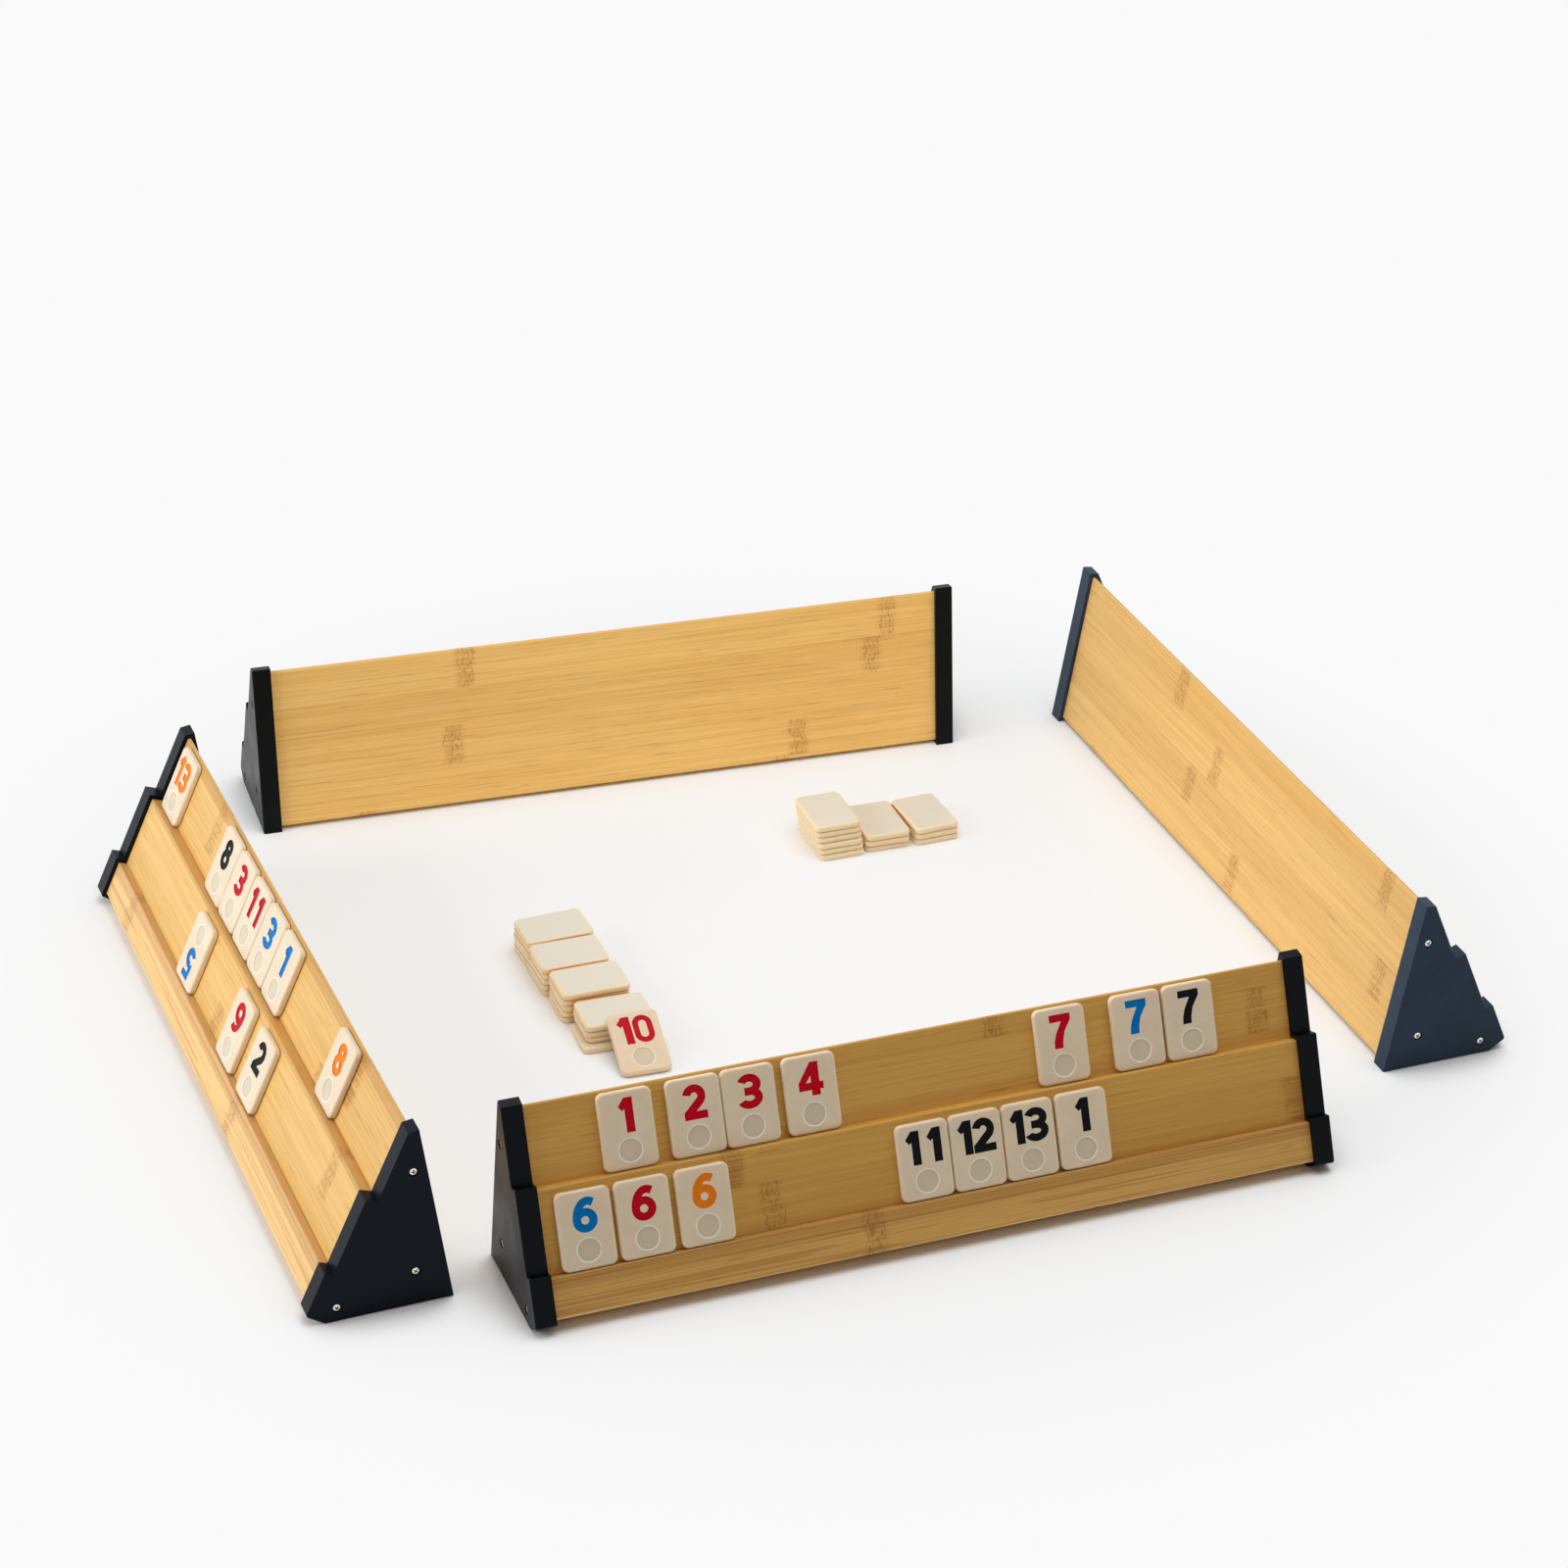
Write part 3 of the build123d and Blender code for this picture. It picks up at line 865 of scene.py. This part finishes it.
# Numbers, in millimetres: x from the middle of the digit, y up from its foot
TOP = 16.6
STROKE = (4.0, 3.8)
ARC_STEP = 12
SPANS = {
    "0": (-5.2, 5.2), "1": (-5.1, 2.1), "2": (-5.7, 5.9), "3": (-6.4, 6.4), "4": (-6.6, 5.8),
    "5": (-6.0, 5.8), "6": (-5.95, 5.95), "7": (-5.5, 5.5), "8": (-5.6, 5.6), "9": (-5.95, 5.95),
}
GAPS = {"10": 1.0, "11": 3.7, "12": 0.3, "13": -0.3}


def arc(centre, radii, start, end):
    """Points along an ellipse, from one angle to another in degrees."""
    steps = max(2, round(abs(end - start) / ARC_STEP))
    angles = [radians(start + (end - start) * step / steps) for step in range(steps + 1)]
    return [(centre[0] + radii[0] * cos(a), centre[1] + radii[1] * sin(a)) for a in angles]


def thinner(radii):
    return (radii[0] - STROKE[0], radii[1] - STROKE[1])


def bow(centre, radii, start, end):
    """A curved stroke with square ends; the radii are those of its outside."""
    return arc(centre, radii, start, end) + arc(centre, thinner(radii), end, start), None


def loop_stroke(centre, radii):
    """A closed round stroke and the hole in it."""
    return arc(centre, radii, 0, 360)[:-1], arc(centre, thinner(radii), 0, 360)[:-1]


def long_loop(width, height, stroke):
    """A closed stroke with straight sides and the hole in it."""
    def outline(radius, end):
        return arc((0, end), (radius, radius), 0, 180) + arc((0, height - end), (radius, radius), 180, 360)

    radius = width / 2
    return outline(radius, height - radius), outline(radius - stroke, height - radius)


def turned_over(shapes):
    """The same strokes turned half round, as a six is to a nine."""
    def turn(points):
        return points and [(-x, TOP - y) for x, y in points]

    return [(turn(outer), turn(hole)) for outer, hole in shapes]


ONE = [
    (-2.1, 0), (2.1, 0), (2.1, TOP), (-2.0, TOP), (-5.1, TOP - 3.9), (-3.3, TOP - 6.2), (-2.1, TOP - 5.3),
]
FOUR = [
    (4.0, TOP), (0, TOP), (-6.6, 7.1), (-6.6, 3.2), (-0.3, 3.2), (-0.3, 0.5), (4.0, 0.5), (4.0, 3.2),
    (5.8, 3.2), (5.8, 6.8), (4.0, 6.8),
]
SEVEN = [
    (0.5, 0), (0.8, 3.5), (2.0, 8.0), (5.5, 13.4), (5.5, TOP), (-5.5, TOP), (-5.5, 13.0), (0.5, 13.0),
    (-2.6, 7.2), (-3.8, 3.3), (-4.0, 0),
]
# The strokes of each digit, each as its outline and the hole in it
DIGITS = {
    "0": [long_loop(10.4, TOP, 3.1)],
    "1": [(ONE, None)],
    "2": [
        bow((0, 11.0), (5.7, 5.6), -40, 168),
        ([(-5.6, 0), (5.9, 0), (5.9, 3.8), (0.5, 3.8), (4.5, 7.4), (1.3, 10.0), (-5.6, 3.6)], None),
    ],
    "3": [
        bow((0.1, 11.5), (6.0, 5.1), -90, 156),
        bow((0, 5.1), (6.4, 5.1), -156, 90),
        ([(-2.4, 6.4), (0.3, 6.4), (0.3, 10.2), (-2.4, 10.2)], None),
    ],
    "4": [(FOUR, [(-0.3, 6.8), (-0.3, 10.1), (-2.8, 6.8)])],
    "5": [
        bow((-0.1, 5.4), (5.9, 5.4), -152, 118),
        ([(-4.7, 7.4), (-1.4, 8.6), (-1.1, 13.2), (4.9, 13.2), (4.9, TOP), (-4.3, TOP)], None),
    ],
    "6": [loop_stroke((0, 5.75), (5.95, 5.75)), bow((1.7, 6.1), (7.65, 10.5), 61, 180)],
    "7": [(SEVEN, None)],
    "8": [loop_stroke((0, 12.0), (5.0, 4.6)), loop_stroke((0, 5.4), (5.6, 5.4))],
}
DIGITS["9"] = turned_over(DIGITS["6"])


def number_strokes(number, baseline):
    """The strokes of a number, centred across the tile."""
    digits = str(number)
    spans = [SPANS[which] for which in digits]
    gap = GAPS.get(digits, 0)
    total = sum(end - start for start, end in spans) + gap * (len(digits) - 1)
    strokes, edge = [], -total / 2
    for which, (start, end) in zip(digits, spans):
        shift = edge - start

        def placed(points):
            return points and [((x + shift) * MM, y * MM + baseline) for x, y in points]

        strokes += [(placed(outer), placed(hole)) for outer, hole in DIGITS[which]]
        edge += end - start + gap
    return strokes


# Tiles

def tile_outline(settings, inset):
    """A tile's outline drawn in by inset, standing on y = 0."""
    radius = settings.corner - inset
    right, bottom = settings.width / 2 - settings.corner, settings.corner
    corners = [(right, bottom, -90), (right, settings.height - bottom, 0)]
    corners += [(-right, settings.height - bottom, 90), (-right, bottom, 180)]
    return [point for x, y, start in corners for point in arc((x, y), (radius, radius), start, start + 90)]


def tile_sides(shape, place, settings, material=0):
    """The back, the sides and the rounded edges of a tile. Gives the outline left for its face."""
    steps = 4
    turns = [radians(90 * step / steps) for step in range(steps + 1)]
    back, face, thick = settings.back_round, settings.face_round, settings.thickness
    levels = [(back * (1 - sin(turn)), back * (1 - cos(turn))) for turn in turns]
    levels += [(face * (1 - cos(turn)), thick - face * (1 - sin(turn))) for turn in turns]
    rings = []
    for inset, height in levels:
        outline = tile_outline(settings, inset)
        rings.append([shape.verts.new(place @ Vector((x, y, height))) for x, y in outline])
    for lower, upper in zip(rings, rings[1:]):
        join_rings(shape, lower, upper, material)
    shape.faces.new(rings[0][::-1]).material_index = material
    return tile_outline(settings, face), rings[-1]


# From the dish's ring inward: each point's distance out, in ring widths, and height, in dish depths
DISH_WALL = [(1.0, 0.0), (0.75, 0.42), (0.4, 0.42), (0.15, 0.1), (0.0, -0.5), (-0.1, -0.92), (-0.4, -1.0)]
DISH_POINTS = 40


def number_tile(shape, place, number, settings):
    """A tile with its number engraved and painted, and the round dish under it."""
    outline, _ = tile_sides(shape, place, settings)
    centre = Vector((0, settings.dish_up))
    deep, rim = settings.dish_depth, settings.dish_rim
    profile = [(settings.dish_radius + rim * out, deep * up) for out, up in DISH_WALL]
    around = [Vector(point) for point in circle(1.0, DISH_POINTS)]
    circles = [[tuple(centre + wide * point) for point in around] for wide, _ in profile]
    shapes = circles[:]
    places = []
    for outer, hole in number_strokes(number, settings.baseline):
        places.append((len(shapes), len(shapes) + 1 if hole else None))
        shapes += [outer, hole] if hole else [outer]
    ring_edge, floor_edge = len(circles) - 3, len(circles) - 2

    def height(point, level):
        if level:
            return settings.thickness - settings.engraving
        wide = (point - centre).length
        if wide >= profile[0][0]:
            return settings.thickness
        for (outside, high), (inside, low) in zip(profile, profile[1:]):
            if wide >= inside - WELD:
                return settings.thickness + low + (high - low) * (wide - inside) / (outside - inside)
        return settings.thickness - deep

    # Material 2, the dish floor, carries painted shade, and material 3, the ring round it, a painted
    # highlight.
    def material(found):
        if any(outer in found and hole not in found for outer, hole in places):
            return 1
        if floor_edge in found:
            return 2
        return 3 if 0 in found and ring_edge not in found else 0

    sunk_face(shape, place, outline, shapes, height, material)


def blank_tile(shape, place, settings):
    """A tile with nothing on it. Its sides get the second material, which carries a painted glow."""
    _, ring = tile_sides(shape, place, settings, 1)
    shape.faces.new(ring)


def tile_place(faces, settings):
    """Where a tile lies: the middle of its bottom edge on its back, Y up its face, Z out of it."""
    back = max(faces, key=lambda face: face.calc_area())
    out = -back.normal.normalized()
    sides = [face for face in faces if abs(face.normal.dot(out)) < 0.1]
    across = max(sides, key=lambda face: face.calc_area()).normal.normalized()
    up = out.cross(across)
    middle = back.calc_center_bounds()
    front = max(vert.co.dot(out) for face in faces for vert in face.verts)
    floor = front - settings.dish_depth / 2
    level = [face for face in faces if face.normal.dot(out) > 0.99]
    dish = [face for face in level if face.calc_center_median().dot(out) < floor]
    if dish and (dish[0].calc_center_median() - middle).dot(up) > 0:
        across, up = -across, -up
    start = middle - up * (settings.height / 2)
    axes = Matrix((across, up, out)).transposed().to_4x4()
    return Matrix.Translation(start) @ axes


def finish_tile(name, shape, materials, node):
    weld(shape)
    shade(shape)
    add_piece(name, shape, materials, node)


def add_number_tiles(settings):
    """Every tile that shows a number; its node's name ends with its colour and number."""
    plastic = tile_plastic("tile_ivory", settings.ivory)
    dish, ring = tile_plastic("tile_dish_painted_shade", settings.dish), tile_plastic("tile_ring_painted_highlight", settings.ring)
    inks = ("red", "blue", "orange", "black")
    paints = {name: number_paint(name, getattr(settings, name)) for name in inks}
    for node in sorted(name for name in frame["nodes"] if "_tile_" in name and name[-1].isdigit()):
        colour, number = node.split("_")[-2:]
        solid = solid_of(node, Matrix.Identity(4))
        shape = bmesh.new()
        number_tile(shape, tile_place(solid.faces[:], settings), int(number), settings)
        solid.free()
        finish_tile(f"{node}_engraved", shape, [plastic, paints[colour], dish, ring], node)


def add_stacks(settings):
    """The stacks of face-down tiles, one piece for each group of stacks."""
    plastic = bpy.data.materials["tile_ivory"]
    edge = tile_plastic("tile_side_painted_glow", settings.edge)
    for node in ("tile_wall", "tall_tile_stack", "low_tile_stacks"):
        solids = solid_of(node, Matrix.Identity(4))
        shape = bmesh.new()
        for island in islands(solids):
            blank_tile(shape, tile_place(island, settings), settings)
        solids.free()
        finish_tile(f"{node}_tiles", shape, [plastic, edge], node)


# Studio

FLOOR_REACH = 8.0
# How far from the middle the floor starts to turn white and is white, and how white it is before
WHITE_FLOOR = (0.26, 0.48)
LEAST_WHITE = 0.55
CONTACT_REACH = 0.03
FRONT = (-0.35, -0.93, 0.05)


def seen_by_eye(tree):
    """1 for rays that show a surface, straight or in a mirror or glass, and 0 for those that light one."""
    rays = add(tree, "LightPath")
    mirrored = maths(tree, "MAXIMUM", rays.outputs["Is Glossy Ray"], rays.outputs["Is Transmission Ray"])
    return maths(tree, "MAXIMUM", rays.outputs["Is Camera Ray"], mirrored)


def add_floor(settings):
    """A wide pale floor that keeps the set's shadows and turns plain white far away from it."""
    corners = [(-FLOOR_REACH, -FLOOR_REACH, 0), (FLOOR_REACH, -FLOOR_REACH, 0)]
    corners += [(FLOOR_REACH, FLOOR_REACH, 0), (-FLOOR_REACH, FLOOR_REACH, 0)]
    mesh = bpy.data.meshes.new("studio_floor")
    mesh.from_pydata(corners, [], [range(4)])
    floor = new_object("studio_floor", mesh)
    material, tree = new_material("studio_floor")
    near = {"Base Color": rgba(settings.floor), "Roughness": 0.6, "Specular IOR Level": 0.2}
    surface = add(tree, "BsdfPrincipled", near).outputs[0]
    white = add(tree, "Emission", {"Color": rgba((1, 1, 1)), "Strength": settings.backdrop}).outputs[0]
    place = add(tree, "TexCoord").outputs["Object"]
    distance = add(tree, "VectorMath", {0: place}, operation="LENGTH").outputs["Value"]
    free = ramp(tree, openness(tree, CONTACT_REACH, False), 0.45, 0.95)
    share_of_white = times(tree, ramp(tree, distance, *WHITE_FLOOR, LEAST_WHITE), free)
    share_of_white = times(tree, share_of_white, seen_by_eye(tree))
    both = add(tree, "MixShader", {0: share_of_white, 1: surface, 2: white})
    add(tree, "OutputMaterial", {"Surface": both.outputs[0]})
    mesh.materials.append(material)


def add_soft_box(name, place, size, power, target):
    """A square lamp that points at target."""
    data = bpy.data.lights.new(name, "AREA")
    data.shape = "SQUARE"
    data.size = size
    data.energy = power
    lamp = new_object(name, data)
    lamp.location = place
    lamp.rotation_mode = "QUATERNION"
    lamp.rotation_quaternion = (Vector(target) - Vector(place)).to_track_quat("-Z", "Y")
    lamp.visible_camera = False


def add_lights(settings):
    """A soft box over the set, one at its left, and a fill that is dimmer from the front."""
    top, side = settings.top_box_place, settings.side_box_place
    add_soft_box("top_box", top, settings.top_box_size, settings.top_box_power, (top[0], top[1], 0))
    add_soft_box("side_box", side, settings.side_box_size, settings.side_box_power, (0, 0, 0))

    world = bpy.data.worlds.new("studio_fill")
    world.use_nodes = True
    tree = world.node_tree
    tree.nodes.clear()
    heading = add(tree, "TexCoord").outputs["Generated"]
    forward = add(tree, "VectorMath", {0: heading, 1: FRONT}, operation="DOT_PRODUCT").outputs["Value"]
    from_front = ramp(tree, forward, 0.1, 0.7)
    strength = ramp(tree, from_front, 0.0, 1.0, settings.sky, settings.front_sky)
    colour = mix(tree, from_front, (1, 1, 1, 1), rgba(settings.front_tint))
    fill = add(tree, "Background", {"Color": colour, "Strength": strength})
    white = add(tree, "Background", {"Color": (1, 1, 1, 1), "Strength": settings.backdrop})
    both = add(tree, "MixShader", {0: seen_by_eye(tree), 1: fill.outputs[0], 2: white.outputs[0]})
    add(tree, "OutputWorld", {"Surface": both.outputs[0]})
    bpy.context.scene.world = world


def add_camera(settings):
    """The camera, turned, tilted and rolled by its three angles."""
    turn, tilt, roll = settings.camera_turn, settings.camera_tilt, settings.camera_roll
    ahead = Vector((sin(turn) * cos(tilt), cos(turn) * cos(tilt), -sin(tilt)))
    right = Vector((cos(turn), -sin(turn), 0))
    up = right.cross(ahead)
    rolled_right = right * cos(roll) + up * sin(roll)
    rolled_up = up * cos(roll) - right * sin(roll)
    data = bpy.data.cameras.new("camera")
    data.sensor_width = 36
    data.lens = settings.lens
    camera = new_object("camera", data)
    axes = Matrix((rolled_right, rolled_up, -ahead)).transposed().to_4x4()
    camera.matrix_world = Matrix.Translation(settings.camera_place) @ axes
    bpy.context.scene.camera = camera


# Operators and panel

class RUMMYSET_OT_boards(bpy.types.Operator):
    """Build the bamboo boards of the four racks"""
    bl_idname = "rummy_set.boards"
    bl_label = "Bamboo Boards"

    def execute(self, context):
        add_boards(context.scene.rummy_set.bamboo)
        return {"FINISHED"}


class RUMMYSET_OT_caps(bpy.types.Operator):
    """Build the moulded end caps"""
    bl_idname = "rummy_set.caps"
    bl_label = "End Caps"

    def execute(self, context):
        add_caps(context.scene.rummy_set.caps)
        return {"FINISHED"}


class RUMMYSET_OT_screws(bpy.types.Operator):
    """Build the screws that hold the caps to the boards"""
    bl_idname = "rummy_set.screws"
    bl_label = "Cap Screws"

    def execute(self, context):
        add_screws(context.scene.rummy_set.screws)
        return {"FINISHED"}


class RUMMYSET_OT_number_tiles(bpy.types.Operator):
    """Build the tiles with engraved numbers"""
    bl_idname = "rummy_set.number_tiles"
    bl_label = "Number Tiles"

    def execute(self, context):
        add_number_tiles(context.scene.rummy_set.tiles)
        return {"FINISHED"}


class RUMMYSET_OT_stacks(bpy.types.Operator):
    """Build the stacks of face-down tiles"""
    bl_idname = "rummy_set.stacks"
    bl_label = "Tile Stacks"

    def execute(self, context):
        add_stacks(context.scene.rummy_set.tiles)
        return {"FINISHED"}


class RUMMYSET_OT_studio(bpy.types.Operator):
    """Add the floor, the lights and the camera"""
    bl_idname = "rummy_set.studio"
    bl_label = "Studio"

    def execute(self, context):
        studio = context.scene.rummy_set.studio
        add_floor(studio)
        add_lights(studio)
        add_camera(studio)
        context.scene.view_settings.view_transform = "Standard"
        return {"FINISHED"}


class RUMMYSET_PT_sidebar(bpy.types.Panel):
    """The set's pieces and their settings"""
    bl_idname = "RUMMYSET_PT_sidebar"
    bl_label = "Rummy Tile Set"
    bl_space_type = "VIEW_3D"
    bl_region_type = "UI"
    bl_category = "Rummy Set"

    def draw(self, context):
        for operator in OPERATORS:
            self.layout.operator(operator.bl_idname)
        settings = context.scene.rummy_set
        for group_name in settings.__annotations__:
            group = getattr(settings, group_name)
            box = self.layout.box()
            for name in group.__annotations__:
                box.prop(group, name)


OPERATORS = (
    RUMMYSET_OT_boards, RUMMYSET_OT_caps, RUMMYSET_OT_screws, RUMMYSET_OT_number_tiles,
    RUMMYSET_OT_stacks, RUMMYSET_OT_studio,
)
CLASSES = (
    BambooSettings, CapSettings, ScrewSettings, TileSettings, StudioSettings, RummySetSettings,
    *OPERATORS, RUMMYSET_PT_sidebar,
)


def register():
    for each in CLASSES:
        bpy.utils.register_class(each)
    bpy.types.Scene.rummy_set = PointerProperty(type=RummySetSettings)


def unregister():
    del bpy.types.Scene.rummy_set
    for each in reversed(CLASSES):
        bpy.utils.unregister_class(each)


def main():
    register()
    bpy.ops.rummy_set.boards()
    bpy.ops.rummy_set.caps()
    bpy.ops.rummy_set.screws()
    bpy.ops.rummy_set.number_tiles()
    bpy.ops.rummy_set.stacks()
    bpy.ops.rummy_set.studio()


if __name__ == "__main__":
    main()
